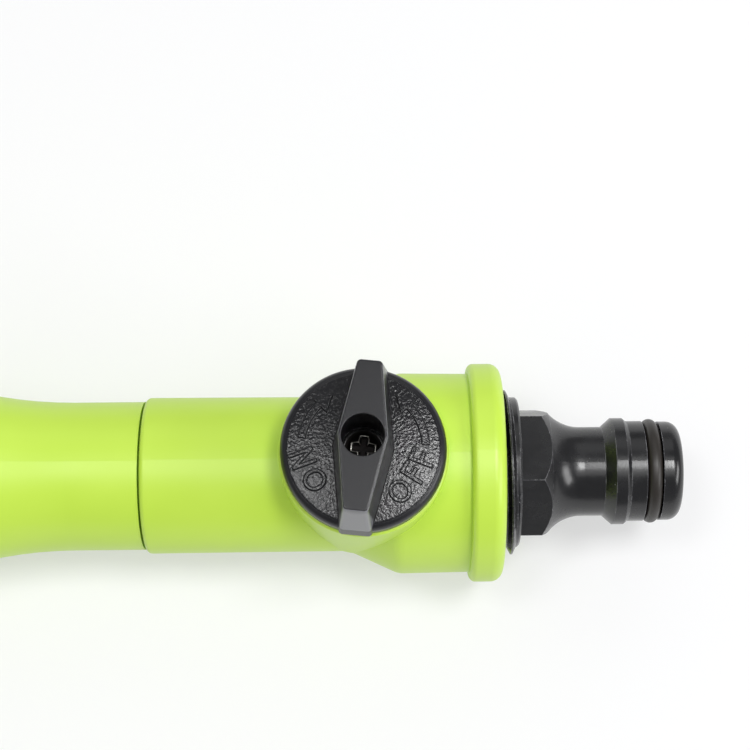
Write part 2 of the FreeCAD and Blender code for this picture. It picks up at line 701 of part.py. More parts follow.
def make_handle():
    """Green grip: spigot with an o-ring groove, straight waist, two arcs that swell it, and a long taper."""
    body = new_body("handle")
    shoulder = "-sleeve_end - handle_gap"
    turn_x = "-waist_end - swell_arc * sin(swell_angle)"
    turn_r = "waist_radius + swell_arc * (1 - cos(swell_angle))"
    belly_x = "-waist_end - 2 * swell_arc * sin(swell_angle)"
    belly_r = "waist_radius + 2 * swell_arc * (1 - cos(swell_angle))"
    long_arc = f"((handle_end + ({belly_x})) ^ 2 + (({belly_r}) - handle_tip) ^ 2) / 2 / (({belly_r}) - handle_tip)"
    grip = spin(body, "grip", [
        ("-handle_end", "handle_bore"),
        ("-78", "handle_bore"),
        ("-60", "waist_bore"),
        ("-sleeve_stop - 0.3", "waist_bore"),
        ("-sleeve_stop - 0.3", "spigot_radius"),
        ("-sleeve_stop - 4", "spigot_radius"),
        ("-sleeve_stop - 4", "spigot_radius - 1.4"),
        ("-sleeve_stop - 6", "spigot_radius - 1.4"),
        ("-sleeve_stop - 6", "spigot_radius"),
        (shoulder, "spigot_radius"),
        (shoulder, "waist_radius"),
        ("-waist_end", "waist_radius", "swell_arc", -1),
        (turn_x, turn_r, "swell_arc", 1),
        (belly_x, belly_r, long_arc, 1),
        ("-handle_end", "handle_tip"),
    ])
    rounded(body, "front_edge", grip, "0.6", circle_at("x", "-handle_end", "handle_tip"))


def make_collar():
    """Black collar that closes the handle's front end and holds the neck tube."""
    body = new_body("front_collar")
    spigot = "handle_bore - 0.1"
    hole = "tube_radius + tube_fit"
    ring = spin(body, "ring", [
        ("-collar_inside", "tube_bore"),
        ("-collar_inside", spigot),
        ("-handle_end + 7", spigot),
        ("-handle_end + 7", "handle_bore - 1.5"),
        ("-handle_end + 5", "handle_bore - 1.5"),
        ("-handle_end + 5", spigot),
        ("-handle_end - 0.25", spigot),
        ("-handle_end - 0.25", "handle_tip + 0.25"),
        ("-handle_end - 4", "handle_tip + 0.25"),
        ("-collar_end", "collar_tip"),
        ("-collar_end", hole),
        ("-collar_end + 6", hole),
        ("-collar_end + 6", "tube_radius + 1.35"),
        ("-collar_end + 8", "tube_radius + 1.35"),
        ("-collar_end + 8", hole),
        ("-tube_start + 0.1", hole),
        ("-tube_start + 0.1", "tube_bore"),
    ][::-1])
    last = rounded(body, "front_round", ring, "0.6", circle_at("x", "-collar_end", "collar_tip"))
    last = rounded(body, "shoulder_round", last, "2.5", circle_at("x", "-handle_end - 4", "handle_tip + 0.25"))
    rounded(body, "back_round", last, "0.5", circle_at("x", "-handle_end - 0.25", "handle_tip + 0.25"))


def make_neck():
    """Green neck tube, swept along a straight, the bend up to the rose, and a short straight."""
    body = new_body("neck_tube")
    path = new_sketch(body, "path")
    foot = Vector(-value("bend_start"), 0, 0)
    back = value("head_tilt")
    bend = value("bend_radius")
    reach = Vector(-math.cos(math.radians(back)), math.sin(math.radians(back)), 0)
    turn_end = foot + Vector(-bend * math.sin(math.radians(back)), bend * (1 - math.cos(math.radians(back))), 0)
    path.addGeometry(Part.LineSegment(Vector(-value("tube_start"), 0, 0), foot))
    arc = Part.Circle(foot + Vector(0, bend, 0), Vector(0, 0, 1), bend)
    path.addGeometry(Part.ArcOfCircle(arc, math.radians(270 - back), math.radians(270)))
    path.addGeometry(Part.LineSegment(turn_end, turn_end + reach * value("tube_tail")))
    path.addConstraint(Sketcher.Constraint("Coincident", 0, 2, 1, 2))
    path.addConstraint(Sketcher.Constraint("Coincident", 1, 1, 2, 1))
    bind(path, "DistanceX", (-1, 1, 0, 1), "-tube_start")
    bind(path, "DistanceY", (-1, 1, 0, 1), "0")
    bind(path, "DistanceX", (-1, 1, 0, 2), "-bend_start")
    bind(path, "DistanceY", (-1, 1, 0, 2), "0")
    bind(path, "DistanceX", (-1, 1, 1, 3), "-bend_start")
    bind(path, "Radius", (1,), "bend_radius")
    bind(path, "DistanceX", (-1, 1, 1, 1), "-bend_start - bend_radius * sin(head_tilt)")
    bind(path, "DistanceX", (-1, 1, 2, 2), "-bend_start - bend_radius * sin(head_tilt) - tube_tail * cos(head_tilt)")
    bind(path, "DistanceY", (-1, 1, 2, 2), "bend_radius * (1 - cos(head_tilt)) + tube_tail * sin(head_tilt)")
    section = new_sketch(body, "section", "YZ_Plane", "-tube_start")
    draw_circle(section, "tube_radius")
    draw_circle(section, "tube_bore")
    pipe = body.newObject("PartDesign::AdditivePipe", "pipe")
    pipe.Profile = section
    pipe.Spine = (path, ["Edge1", "Edge2", "Edge3"])


def make_head_shell():
    """Green back shell of the rose: socket for the neck, shallow dome, and a straight rim."""
    body = new_body("head_shell", place_on_rose)
    lean = "dome_slope"
    root_r = "head_socket + dome_arc * (1 - cos(90 - dome_slope))"
    root_s = "3.5 + dome_arc * sin(90 - dome_slope)"
    edge_r = "rim_radius - dome_round + dome_round * sin(dome_slope)"
    edge_s = f"{root_s} + (({edge_r}) - ({root_r})) * tan({lean})"
    rim_s = f"{edge_s} + dome_round * cos({lean})"
    inner_r = "rim_radius - shell_wall"
    shell = spin(body, "dome", [
        ("tube_radius + tube_fit", "0.8"),
        ("head_socket", "0.8"),
        ("head_socket", "3.5", "dome_arc", -1),
        (root_r, root_s),
        (edge_r, edge_s, "dome_round", 1),
        ("rim_radius", rim_s),
        ("rim_radius", "rim_face"),
        (inner_r, "rim_face"),
        (inner_r, f"{rim_s} + 0.4"),
        (f"{inner_r} - 3", f"{edge_s} + 1.7"),
        (f"{root_r} + 2", f"{root_s} + shell_wall + 0.9"),
        ("tube_bore", f"{root_s} + shell_wall + 0.9"),
        ("tube_bore", "tube_tail + 0.1"),
        ("tube_radius + tube_fit", "tube_tail + 0.1"),
        ("tube_radius + tube_fit", "7.6"),
        ("tube_radius + 1.35", "7.6"),
        ("tube_radius + 1.35", "5.6"),
        ("tube_radius + tube_fit", "5.6"),
    ], axis="V_Axis")
    rounded(body, "socket_round", shell, "0.6", circle_at("z", "0.8", "head_socket"))


def make_rose_plate():
    """Black rose plate: flat edge, domed face, and rings of spray holes, each with a nub round it."""
    body = new_body("rose_plate", place_on_rose)
    seat, edge = "rim_face + seal_thick", "rim_face + seal_thick + plate_thick"
    crown = "(plate_face ^ 2 + plate_rise ^ 2) / 2 / plate_rise"
    under = "((plate_face - 1) ^ 2 + plate_rise ^ 2) / 2 / plate_rise"
    spin(body, "plate", [
        ("plate_face - 1", seat),
        ("plate_edge", seat),
        ("plate_edge", edge),
        ("plate_face", edge, crown, 1),
        ("0", f"{edge} + plate_rise"),
        ("0", f"{seat} + plate_rise", under, -1),
    ], axis="V_Axis")
    for i, (radius, count) in enumerate(ROSE_RINGS):
        nub = new_sketch(body, f"nub_circle_{i}", "XY_Plane", f"{seat} + 1")
        draw_circle(nub, "nub_radius", str(radius), "0")
        sag = f"({crown}) - sqrt(({crown}) ^ 2 - {radius} ^ 2)"
        raise_it = pad(body, f"nub_{i}", nub, f"{edge} + plate_rise - ({sag}) + nub_rise - ({seat} + 1)")
        hole = new_sketch(body, f"jet_circle_{i}", "XY_Plane", "ring_front + 6")
        draw_circle(hole, "jet_radius", str(radius), "0")
        jet = pocket(body, f"jet_{i}", hole, "12")
        repeated(body, f"jets_{i}", [raise_it, jet], count)


def make_rose_ring():
    """Black screw ring that clamps the rose plate, with ribs to grip it by."""
    body = new_body("rose_ring", place_on_rose)
    ring = spin(body, "ring", [
        ("rim_radius + 0.1", "ring_back"),
        ("ring_radius", "ring_back"),
        ("ring_radius", "ring_front"),
        ("ring_lip", "ring_front"),
        ("ring_lip", "ring_front - 1.6"),
        ("rim_radius + 0.1", "ring_front - 1.6"),
    ], axis="V_Axis")
    last = rounded(body, "back_round", ring, "ring_round", circle_at("z", "ring_back", "ring_radius"))
    rounded(body, "front_round", last, "1.8", circle_at("z", "ring_front", "ring_radius"))
    notch = new_sketch(body, "notch_circle", "XY_Plane", "ring_front + 1")
    draw_circle(notch, "1.1", "ring_radius + 0.6", "0")
    cut = pocket(body, "notch", notch, "ring_front + 1 - ring_back - 2.4")
    repeated(body, "notches", [cut], GRIP_RIBS)


make_valve_body()
make_connector()
torus("connector_o_ring", place_on_axis, ["(groove_start + groove_end) / 2"], "groove_radius + 0.01 + nose_ring_wire / 2",
      "nose_ring_wire")
washer("inlet_gasket", place_on_axis, "6.5", "12.4", "socket_floor + carrier_thick",
       "socket_floor + carrier_thick + gasket_thick")
make_seat_carrier()
torus("carrier_o_ring", place_on_axis, ["socket_floor - 1.7"], "chamber_radius - 0.65", "1.15")
make_seat("inlet_seat", 1)
make_seat("outlet_seat", -1)
make_ball()
make_stem()
torus("stem_o_ring_lower", place_on_knob, ["10.8"], "stem_radius - 0.54", "ring_wire", lengthwise=False)
torus("stem_o_ring_upper", place_on_knob, ["12.5"], "stem_radius - 0.54", "ring_wire", lengthwise=False)
make_knob()
make_knob_screw()
make_handle()
torus("handle_o_ring", place_on_axis, ["-sleeve_stop - 5"], "spigot_radius - 0.65", "1.45")
make_collar()
torus("collar_o_ring", place_on_axis, ["-handle_end + 6"], "handle_bore - 0.75", "1.45")
torus("neck_o_ring", place_on_axis, ["-collar_end + 7"], "tube_radius + 0.68", "1.3")
make_neck()
make_head_shell()
torus("head_o_ring", place_on_rose, ["6.6"], "tube_radius + 0.68", "1.3", lengthwise=False)
washer("rose_gasket", place_on_rose, "rim_radius - 4.6", "rim_radius - 0.6", "rim_face", "rim_face + seal_thick",
       lengthwise=False)
make_rose_plate()
make_rose_ring()
doc.recompute()

faulty = [o.Label for o in doc.Objects if {"Invalid", "Error"} & set(o.State)]
faulty += [p.Label for p in pieces if p.Shape.isNull() or not p.Shape.isValid() or len(p.Shape.Solids) != 1]
if faulty:
    raise SystemExit(f"these objects failed: {faulty}")
os.makedirs("parts", exist_ok=True)
for piece in pieces:
    piece.Shape.exportStep(f"parts/{piece.Label}.step")
print("pieces", len(pieces))
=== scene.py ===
import json
import math

import bpy
from mathutils import Matrix, Vector


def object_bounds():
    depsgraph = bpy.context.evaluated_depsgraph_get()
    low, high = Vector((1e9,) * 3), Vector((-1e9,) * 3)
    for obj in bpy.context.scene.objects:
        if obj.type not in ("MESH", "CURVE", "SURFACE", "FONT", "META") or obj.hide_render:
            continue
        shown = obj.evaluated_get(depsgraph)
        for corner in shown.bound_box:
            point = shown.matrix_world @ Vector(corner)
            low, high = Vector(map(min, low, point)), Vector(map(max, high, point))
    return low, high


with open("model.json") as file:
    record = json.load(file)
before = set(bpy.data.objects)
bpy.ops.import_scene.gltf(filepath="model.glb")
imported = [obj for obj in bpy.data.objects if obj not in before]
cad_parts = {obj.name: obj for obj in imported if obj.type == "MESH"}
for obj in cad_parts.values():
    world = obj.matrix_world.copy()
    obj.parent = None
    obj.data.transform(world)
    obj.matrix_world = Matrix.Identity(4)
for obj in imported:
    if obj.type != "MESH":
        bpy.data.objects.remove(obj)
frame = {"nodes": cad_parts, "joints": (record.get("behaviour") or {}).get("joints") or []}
cadLow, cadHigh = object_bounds()
nodes = frame["nodes"]
knobJoint = frame["joints"][0]
knobAxis = Vector(knobJoint["pos_m"])  # where the wand's axis and the knob's axis cross
print("frame loaded:", len(nodes), "nodes")


# node helpers
def linearColour(hexCode):
    # sRGB hex to linear light, by the sRGB standard's two-part curve
    parts = [int(hexCode[i:i + 2], 16) / 255 for i in (1, 3, 5)]
    return [p / 12.92 if p <= 0.04045 else ((p + 0.055) / 1.055) ** 2.4 for p in parts] + [1.0]


def addNode(tree, kind, settings=None, **inputs):
    # one shader node; settings are its own options, inputs are numbers or another node's output
    node = tree.nodes.new(kind)
    for name, value in (settings or {}).items():
        setattr(node, name, value)
    for name, value in inputs.items():
        # i0, i1 and so on go by place, for nodes whose inputs share a name
        numbered = name[0] == "i" and name[1:].isdigit()
        socket = node.inputs[int(name[1:]) if numbered else name.replace("_", " ")]
        if isinstance(value, bpy.types.NodeSocket):
            tree.links.new(value, socket)
        else:
            socket.default_value = value
    return node


def newMaterial(name):
    material = bpy.data.materials.new(name)
    material.use_nodes = True
    material.node_tree.nodes.clear()
    return material, material.node_tree


def edgeMask(tree, radiusMm, onEdge=0.9, onFlat=0.995):
    # 1 on edges and 0 on flats: how far the rounded-off normal leans from the true one
    soft = addNode(tree, "ShaderNodeBevel", {"samples": 8}, Radius=radiusMm / 1000).outputs[0]
    true = addNode(tree, "ShaderNodeNewGeometry").outputs["Normal"]
    lean = addNode(tree, "ShaderNodeVectorMath", {"operation": "DOT_PRODUCT"}, i0=soft,
                   i1=true).outputs["Value"]
    return addNode(tree, "ShaderNodeMapRange", Value=lean, From_Min=onEdge, From_Max=onFlat,
                   To_Min=1.0, To_Max=0.0).outputs[0]


# finishes
greenShell = {"colour": "#c3e54c", "shade": "#bfe248", "roughness": (0.36, 0.41), "ior": 1.58,
              "peelMm": 1.8, "peelDepthMm": 0.02, "peelStrength": 0.4, "blotchMm": 14.0,
              "blotchSpan": (0.3, 0.7)}  # the part of the noise that the two colours spread over


def mouldedAbs(name, look):
    # ABS, injection moulded in a polished tool: even colour, soft gloss, a faint orange peel
    material, tree = newMaterial(name)
    place = addNode(tree, "ShaderNodeTexCoord").outputs["Object"]
    noise = addNode(tree, "ShaderNodeTexNoise", Vector=place, Scale=1000 / look["blotchMm"],
                    Detail=2.0).outputs["Fac"]
    peel = addNode(tree, "ShaderNodeTexNoise", Vector=place, Scale=1000 / look["peelMm"],
                   Detail=1.0).outputs["Fac"]
    low, high = look["blotchSpan"]
    blotch = addNode(tree, "ShaderNodeMapRange", Value=noise, From_Min=low, From_Max=high).outputs[0]
    bump = addNode(tree, "ShaderNodeBump", Height=peel, Strength=look["peelStrength"],
                   Distance=look["peelDepthMm"] / 1000)
    rough = addNode(tree, "ShaderNodeMapRange", Value=blotch, To_Min=look["roughness"][0],
                    To_Max=look["roughness"][1])
    colour = addNode(tree, "ShaderNodeMix", {"data_type": "RGBA"}, Factor=blotch,
                     i6=linearColour(look["shade"]), i7=linearColour(look["colour"]))
    shader = addNode(tree, "ShaderNodeBsdfPrincipled", Base_Color=colour.outputs[2],
                     Roughness=rough.outputs[0], IOR=look["ior"], Normal=bump.outputs[0])
    addNode(tree, "ShaderNodeOutputMaterial", Surface=shader.outputs[0])
    return material


blackFitting = {"colour": "#0e0e10", "shade": "#151517", "speck": "#8f8f92", "paleEdge": "#58585c",
                "roughness": (0.19, 0.32), "roughSpan": (0.3, 0.7), "shadeSpan": (0.35, 0.65), "ior": 1.56,
                "edgeMm": 0.2, "grainMm": 0.45, "grainDepthMm": 0.02, "grainStrength": 0.3, "blotchMm": 5.0,
                "speckMm": 1.3,  # specks of dust lie about this far apart
                "speckSize": (0.045, 0.07), "dustySpan": (0.52, 0.56),
                "chipMm": 1.6, "chipSpan": (0.53, 0.57)}


def mouldedBlack(name, look):
    # polypropylene, injection moulded: glossy black with a little dust and handling marks, edges slightly soft
    # and painted a paler grey as a highlight
    material, tree = newMaterial(name)
    place = addNode(tree, "ShaderNodeTexCoord").outputs["Object"]
    blotch = addNode(tree, "ShaderNodeTexNoise", Vector=place, Scale=1000 / look["blotchMm"], Detail=4.0,
                     Roughness=0.65).outputs["Fac"]
    grain = addNode(tree, "ShaderNodeTexNoise", Vector=place, Scale=1000 / look["grainMm"],
                    Detail=2.0).outputs["Fac"]
    # dust: small round specks, only where the blotches are strong
    cells = addNode(tree, "ShaderNodeTexVoronoi", Vector=place, Scale=1000 / look["speckMm"],
                    Randomness=1.0).outputs["Distance"]
    low, high = look["speckSize"]
    specks = addNode(tree, "ShaderNodeMapRange", Value=cells, From_Min=low, From_Max=high, To_Min=1.0,
                     To_Max=0.0).outputs[0]
    low, high = look["dustySpan"]
    dusty = addNode(tree, "ShaderNodeMapRange", Value=blotch, From_Min=low, From_Max=high).outputs[0]
    dust = addNode(tree, "ShaderNodeMath", {"operation": "MULTIPLY"}, i0=specks, i1=dusty).outputs[0]
    # here and there an edge is chipped pale
    edges = edgeMask(tree, look["edgeMm"])
    knocked = addNode(tree, "ShaderNodeTexNoise", Vector=place, Scale=1000 / look["chipMm"], Detail=3.0,
                      Roughness=0.7).outputs["Fac"]
    low, high = look["chipSpan"]
    knocks = addNode(tree, "ShaderNodeMapRange", Value=knocked, From_Min=low, From_Max=high).outputs[0]
    chips = addNode(tree, "ShaderNodeMath", {"operation": "MULTIPLY"}, i0=knocks, i1=edges).outputs[0]
    marks = addNode(tree, "ShaderNodeMath", {"operation": "MAXIMUM"}, i0=chips, i1=dust).outputs[0]
    low, high = look["shadeSpan"]
    shaded = addNode(tree, "ShaderNodeMapRange", Value=blotch, From_Min=low, From_Max=high).outputs[0]
    base = addNode(tree, "ShaderNodeMix", {"data_type": "RGBA"}, Factor=shaded,
                   i6=linearColour(look["colour"]), i7=linearColour(look["shade"])).outputs[2]
    # painted highlight: every edge is painted a paler grey
    edged = addNode(tree, "ShaderNodeMix", {"data_type": "RGBA"}, Factor=edges, i6=base,
                    i7=linearColour(look["paleEdge"])).outputs[2]
    colour = addNode(tree, "ShaderNodeMix", {"data_type": "RGBA"}, Factor=marks, i6=edged,
                     i7=linearColour(look["speck"])).outputs[2]
    soft = addNode(tree, "ShaderNodeBevel", {"samples": 4}, Radius=look["edgeMm"] / 1000).outputs[0]
    bump = addNode(tree, "ShaderNodeBump", Height=grain, Strength=look["grainStrength"],
                   Distance=look["grainDepthMm"] / 1000, Normal=soft)
    low, high = look["roughSpan"]
    rough = addNode(tree, "ShaderNodeMapRange", Value=blotch, From_Min=low, From_Max=high,
                    To_Min=look["roughness"][0], To_Max=look["roughness"][1])
    shader = addNode(tree, "ShaderNodeBsdfPrincipled", Base_Color=colour, Roughness=rough.outputs[0],
                     IOR=look["ior"], Normal=bump.outputs[0])
    addNode(tree, "ShaderNodeOutputMaterial", Surface=shader.outputs[0])
    return material


# heights are above the wand's axis, and radii are from the knob's axis
knobFinish = {"colour": "#111114", "satinColour": "#121216", "glintColour": "#a2a2a8", "ior": 1.53,
              "crinkleMm": 0.45, "crinkleDepthMm": 0.07, "crinkleRoughness": 0.15,
              "pitMm": 0.5, "pitShare": 0.5, "pitSmoothness": 0.35,
              "satinMm": 0.16, "satinDepthMm": 0.012, "satinRoughness": 0.3,
              "markTopMm": 19.92, "faceRadiusMm": 11.75, "crownMm": 0.8, "edgeMm": 0.25,
              "creaseMm": 0.3, "creaseRoughness": 0.95,
              "glintFromMm": 28.72, "glintToMm": 28.97,  # the rounded edge just under the lever's top, where a highlight is painted
              "litEndColour": "#77777c", "litEndFromMm": 11.2}


def crinkledBlack(name, look):
    # ABS, moulded: the disc's face and marks are spark eroded to a coarse shiny crinkle, the lever to a fine
    # satin, and the rim is left smooth
    material, tree = newMaterial(name)
    place = addNode(tree, "ShaderNodeTexCoord").outputs["Object"]
    local = addNode(tree, "ShaderNodeVectorMath", {"operation": "SUBTRACT"}, i0=place, i1=knobAxis).outputs[0]
    split = addNode(tree, "ShaderNodeSeparateXYZ", Vector=local)
    height = split.outputs["Z"]
    flat = addNode(tree, "ShaderNodeCombineXYZ", X=split.outputs["X"], Y=split.outputs["Y"]).outputs[0]
    reach = addNode(tree, "ShaderNodeVectorMath", {"operation": "LENGTH"}, i0=flat).outputs["Value"]

    # the face: inside the rim and no higher than the marks
    inside = addNode(tree, "ShaderNodeMapRange", Value=reach, From_Min=(look["faceRadiusMm"] - 0.3) / 1000,
                     From_Max=look["faceRadiusMm"] / 1000, To_Min=1.0, To_Max=0.0).outputs[0]
    low = addNode(tree, "ShaderNodeMapRange", Value=height, From_Min=(look["markTopMm"] + 0.03) / 1000,
                  From_Max=(look["markTopMm"] + 0.1) / 1000, To_Min=1.0, To_Max=0.0).outputs[0]
    face = addNode(tree, "ShaderNodeMath", {"operation": "MULTIPLY"}, i0=inside, i1=low).outputs[0]

    # the crinkle is a fine noise with round pits in it
    crinkle = addNode(tree, "ShaderNodeTexNoise", Vector=place, Scale=1000 / look["crinkleMm"], Detail=3.0,
                      Roughness=0.6, Distortion=0.25).outputs["Fac"]
    pits = addNode(tree, "ShaderNodeTexVoronoi", {"feature": "SMOOTH_F1"}, Vector=place,
                   Scale=1000 / look["pitMm"], Smoothness=look["pitSmoothness"]).outputs["Distance"]
    rumpled = addNode(tree, "ShaderNodeMath", {"operation": "MULTIPLY_ADD"}, i0=pits, i1=look["pitShare"],
                      i2=crinkle).outputs[0]
    deep = addNode(tree, "ShaderNodeMath", {"operation": "MULTIPLY"}, i0=rumpled, i1=face).outputs[0]
    satin = addNode(tree, "ShaderNodeTexNoise", Vector=place, Scale=1000 / look["satinMm"],
                    Detail=1.0).outputs["Fac"]

    # the face shines as if crowned: it falls by crownMm, with the square of the distance from the axis
    square = addNode(tree, "ShaderNodeMath", {"operation": "POWER"}, i0=reach, i1=2.0).outputs[0]
    crown = addNode(tree, "ShaderNodeMath", {"operation": "MULTIPLY"}, i0=square, i1=low).outputs[0]
    soft = addNode(tree, "ShaderNodeBevel", {"samples": 4}, Radius=look["edgeMm"] / 1000).outputs[0]
    crowned = addNode(tree, "ShaderNodeBump", Height=crown, Strength=1.0, Normal=soft,
                      Distance=-1000 * look["crownMm"] / look["faceRadiusMm"] ** 2).outputs[0]
    fine = addNode(tree, "ShaderNodeBump", Height=satin, Strength=1.0, Normal=crowned,
                   Distance=look["satinDepthMm"] / 1000).outputs[0]
    bump = addNode(tree, "ShaderNodeBump", Height=deep, Strength=1.0, Normal=fine,
                   Distance=look["crinkleDepthMm"] / 1000).outputs[0]

    # the foot and edge of each raised mark hold dirt and do not shine
    creases = addNode(tree, "ShaderNodeMath", {"operation": "MULTIPLY"}, i0=edgeMask(tree, look["creaseMm"]),
                      i1=face).outputs[0]
    shiny = addNode(tree, "ShaderNodeMapRange", Value=face, To_Min=look["satinRoughness"],
                    To_Max=look["crinkleRoughness"]).outputs[0]
    rough = addNode(tree, "ShaderNodeMapRange", Value=creases, To_Min=shiny,
                    To_Max=look["creaseRoughness"]).outputs[0]

    # painted highlight: a pale band, in patches, along the rounded edge round the lever's top
    glintLow, glintHigh = look["glintFromMm"] / 1000, look["glintToMm"] / 1000
    above = addNode(tree, "ShaderNodeMapRange", Value=height, From_Min=glintLow,
                    From_Max=glintLow + 0.0001).outputs[0]
    below = addNode(tree, "ShaderNodeMapRange", Value=height, From_Min=glintHigh - 0.0001, From_Max=glintHigh,
                    To_Min=1.0, To_Max=0.0).outputs[0]
    glintBand = addNode(tree, "ShaderNodeMath", {"operation": "MULTIPLY"}, i0=above, i1=below).outputs[0]
    paleEdge = addNode(tree, "ShaderNodeMath", {"operation": "MULTIPLY"}, i0=glintBand, i1=crinkle).outputs[0]

    # painted light: the lever's two ends are painted a paler grey, but not its top
    ends = addNode(tree, "ShaderNodeMapRange", Value=reach, From_Min=look["litEndFromMm"] / 1000,
                   From_Max=(look["litEndFromMm"] + 0.4) / 1000).outputs[0]
    raised = addNode(tree, "ShaderNodeMath", {"operation": "SUBTRACT"}, i0=below, i1=low).outputs[0]
    litEnds = addNode(tree, "ShaderNodeMath", {"operation": "MULTIPLY"}, i0=ends, i1=raised).outputs[0]

    base = addNode(tree, "ShaderNodeMix", {"data_type": "RGBA"}, Factor=face,
                   i6=linearColour(look["satinColour"]), i7=linearColour(look["colour"])).outputs[2]
    # painted light on the lever's ends
    withLitEnds = addNode(tree, "ShaderNodeMix", {"data_type": "RGBA"}, Factor=litEnds, i6=base,
                      i7=linearColour(look["litEndColour"])).outputs[2]
    # painted highlight: the pale band on the lever's top edge
    colour = addNode(tree, "ShaderNodeMix", {"data_type": "RGBA"}, Factor=paleEdge, i6=withLitEnds,
                     i7=linearColour(look["glintColour"])).outputs[2]
    shader = addNode(tree, "ShaderNodeBsdfPrincipled", Base_Color=colour, Roughness=rough, IOR=look["ior"],
                     Normal=bump)
    addNode(tree, "ShaderNodeOutputMaterial", Surface=shader.outputs[0])
    return material


smallParts = {
    # colour, roughness, metallic
    "nitrileRubberMoulded": ("#27231f", 0.4, 0.0),
    "ptfeTurned": ("#ecebe6", 0.45, 0.0),
    "acetalMoulded": ("#e4e3de", 0.4, 0.0),
    "brassTurned": ("#d9b45c", 0.28, 1.0),
}
smallGrain = {"grainMm": 0.4, "grainDepthMm": 0.01, "strength": 0.3, "glossSpread": 0.05, "edgeMm": 0.1}


def plainFinish(name, colour, roughness, metallic, look=smallGrain):
    # small parts: one colour, a fine grain in the gloss and bump, edges slightly soft
    material, tree = newMaterial(name)
    place = addNode(tree, "ShaderNodeTexCoord").outputs["Object"]
    grain = addNode(tree, "ShaderNodeTexNoise", Vector=place, Scale=1000 / look["grainMm"],
                    Detail=2.0).outputs["Fac"]
    rough = addNode(tree, "ShaderNodeMapRange", Value=grain, From_Min=0.3, From_Max=0.7,
                    To_Min=roughness - look["glossSpread"], To_Max=roughness + look["glossSpread"])
    soft = addNode(tree, "ShaderNodeBevel", {"samples": 4}, Radius=look["edgeMm"] / 1000).outputs[0]
    bump = addNode(tree, "ShaderNodeBump", Height=grain, Strength=look["strength"],
                   Distance=look["grainDepthMm"] / 1000, Normal=soft)
    shader = addNode(tree, "ShaderNodeBsdfPrincipled", Base_Color=linearColour(colour),
                     Roughness=rough.outputs[0], Metallic=metallic, Normal=bump.outputs[0])
    addNode(tree, "ShaderNodeOutputMaterial", Surface=shader.outputs[0])
    return material


screwFinish = {"colour": "#1d1b19", "paleEdge": "#d9d6ce", "deepColour": "#120d0a", "roughness": 0.34, "metallic": 0.8,
               "deepRoughness": 0.85, "edgeMm": 0.22, "grainMm": 0.25, "grainDepthMm": 0.02,
               "deepTopMm": 19.25}  # above the wand's axis


def blackZincSteel(name, look):
    # steel, black zinc plated: nearly black; its edges pale, partly rubbed by the driver and partly a painted
    # highlight; darker and duller below a set height near the bottom of its well
    material, tree = newMaterial(name)
    place = addNode(tree, "ShaderNodeTexCoord").outputs["Object"]
    grain = addNode(tree, "ShaderNodeTexNoise", Vector=place, Scale=1000 / look["grainMm"],
                    Detail=2.0).outputs["Fac"]
    height = addNode(tree, "ShaderNodeSeparateXYZ", Vector=place).outputs["Z"]
    # the screw is darker, duller and less metallic below a set height
    deepTop = knobAxis.z + look["deepTopMm"] / 1000
    deepPart = addNode(tree, "ShaderNodeMapRange", Value=height, From_Min=deepTop - 0.0001,
                    From_Max=deepTop + 0.0001, To_Min=1.0, To_Max=0.0).outputs[0]
    # the pale edges are partly wear from the driver and partly a painted highlight
    plated = addNode(tree, "ShaderNodeMix", {"data_type": "RGBA"}, Factor=edgeMask(tree, look["edgeMm"]),
                     i6=linearColour(look["colour"]), i7=linearColour(look["paleEdge"])).outputs[2]
    colour = addNode(tree, "ShaderNodeMix", {"data_type": "RGBA"}, Factor=deepPart, i6=plated,
                     i7=linearColour(look["deepColour"])).outputs[2]
    rough = addNode(tree, "ShaderNodeMapRange", Value=deepPart, To_Min=look["roughness"],
                    To_Max=look["deepRoughness"])
    metal = addNode(tree, "ShaderNodeMapRange", Value=deepPart, To_Min=look["metallic"], To_Max=0.0)
    soft = addNode(tree, "ShaderNodeBevel", {"samples": 8}, Radius=look["edgeMm"] / 1000).outputs[0]
    bump = addNode(tree, "ShaderNodeBump", Height=grain, Strength=0.4, Distance=look["grainDepthMm"] / 1000,
                   Normal=soft)
    shader = addNode(tree, "ShaderNodeBsdfPrincipled", Base_Color=colour, Roughness=rough.outputs[0],
                     Metallic=metal.outputs[0], Normal=bump.outputs[0])
    addNode(tree, "ShaderNodeOutputMaterial", Surface=shader.outputs[0])
    return material


greenAbs = mouldedAbs("limeAbsMoulded", greenShell)
blackPp = mouldedBlack("blackPolypropyleneMoulded", blackFitting)
knobAbs = crinkledBlack("blackAbsSparkEroded", knobFinish)
nitrile, ptfe, acetal, brass = (plainFinish(name, *values) for name, values in smallParts.items())
screwSteel = blackZincSteel("steelBlackZincPlated", screwFinish)

finishes = {
    "valve_body": greenAbs, "handle": greenAbs, "neck_tube": greenAbs, "head_shell": greenAbs,
    "hose_connector": blackPp, "front_collar": blackPp, "rose_plate": blackPp, "rose_ring": blackPp,
    "valve_knob": knobAbs, "knob_screw": screwSteel,
    "inlet_seat": ptfe, "outlet_seat": ptfe, "seat_carrier": acetal,
    "valve_ball": brass, "valve_stem": brass,
}  # every other piece is an o-ring or a gasket, of nitrile
for name, node in nodes.items():
    node.data.materials.clear()
    node.data.materials.append(finishes.get(name, nitrile))
print("finishes given to", len(nodes), "nodes")

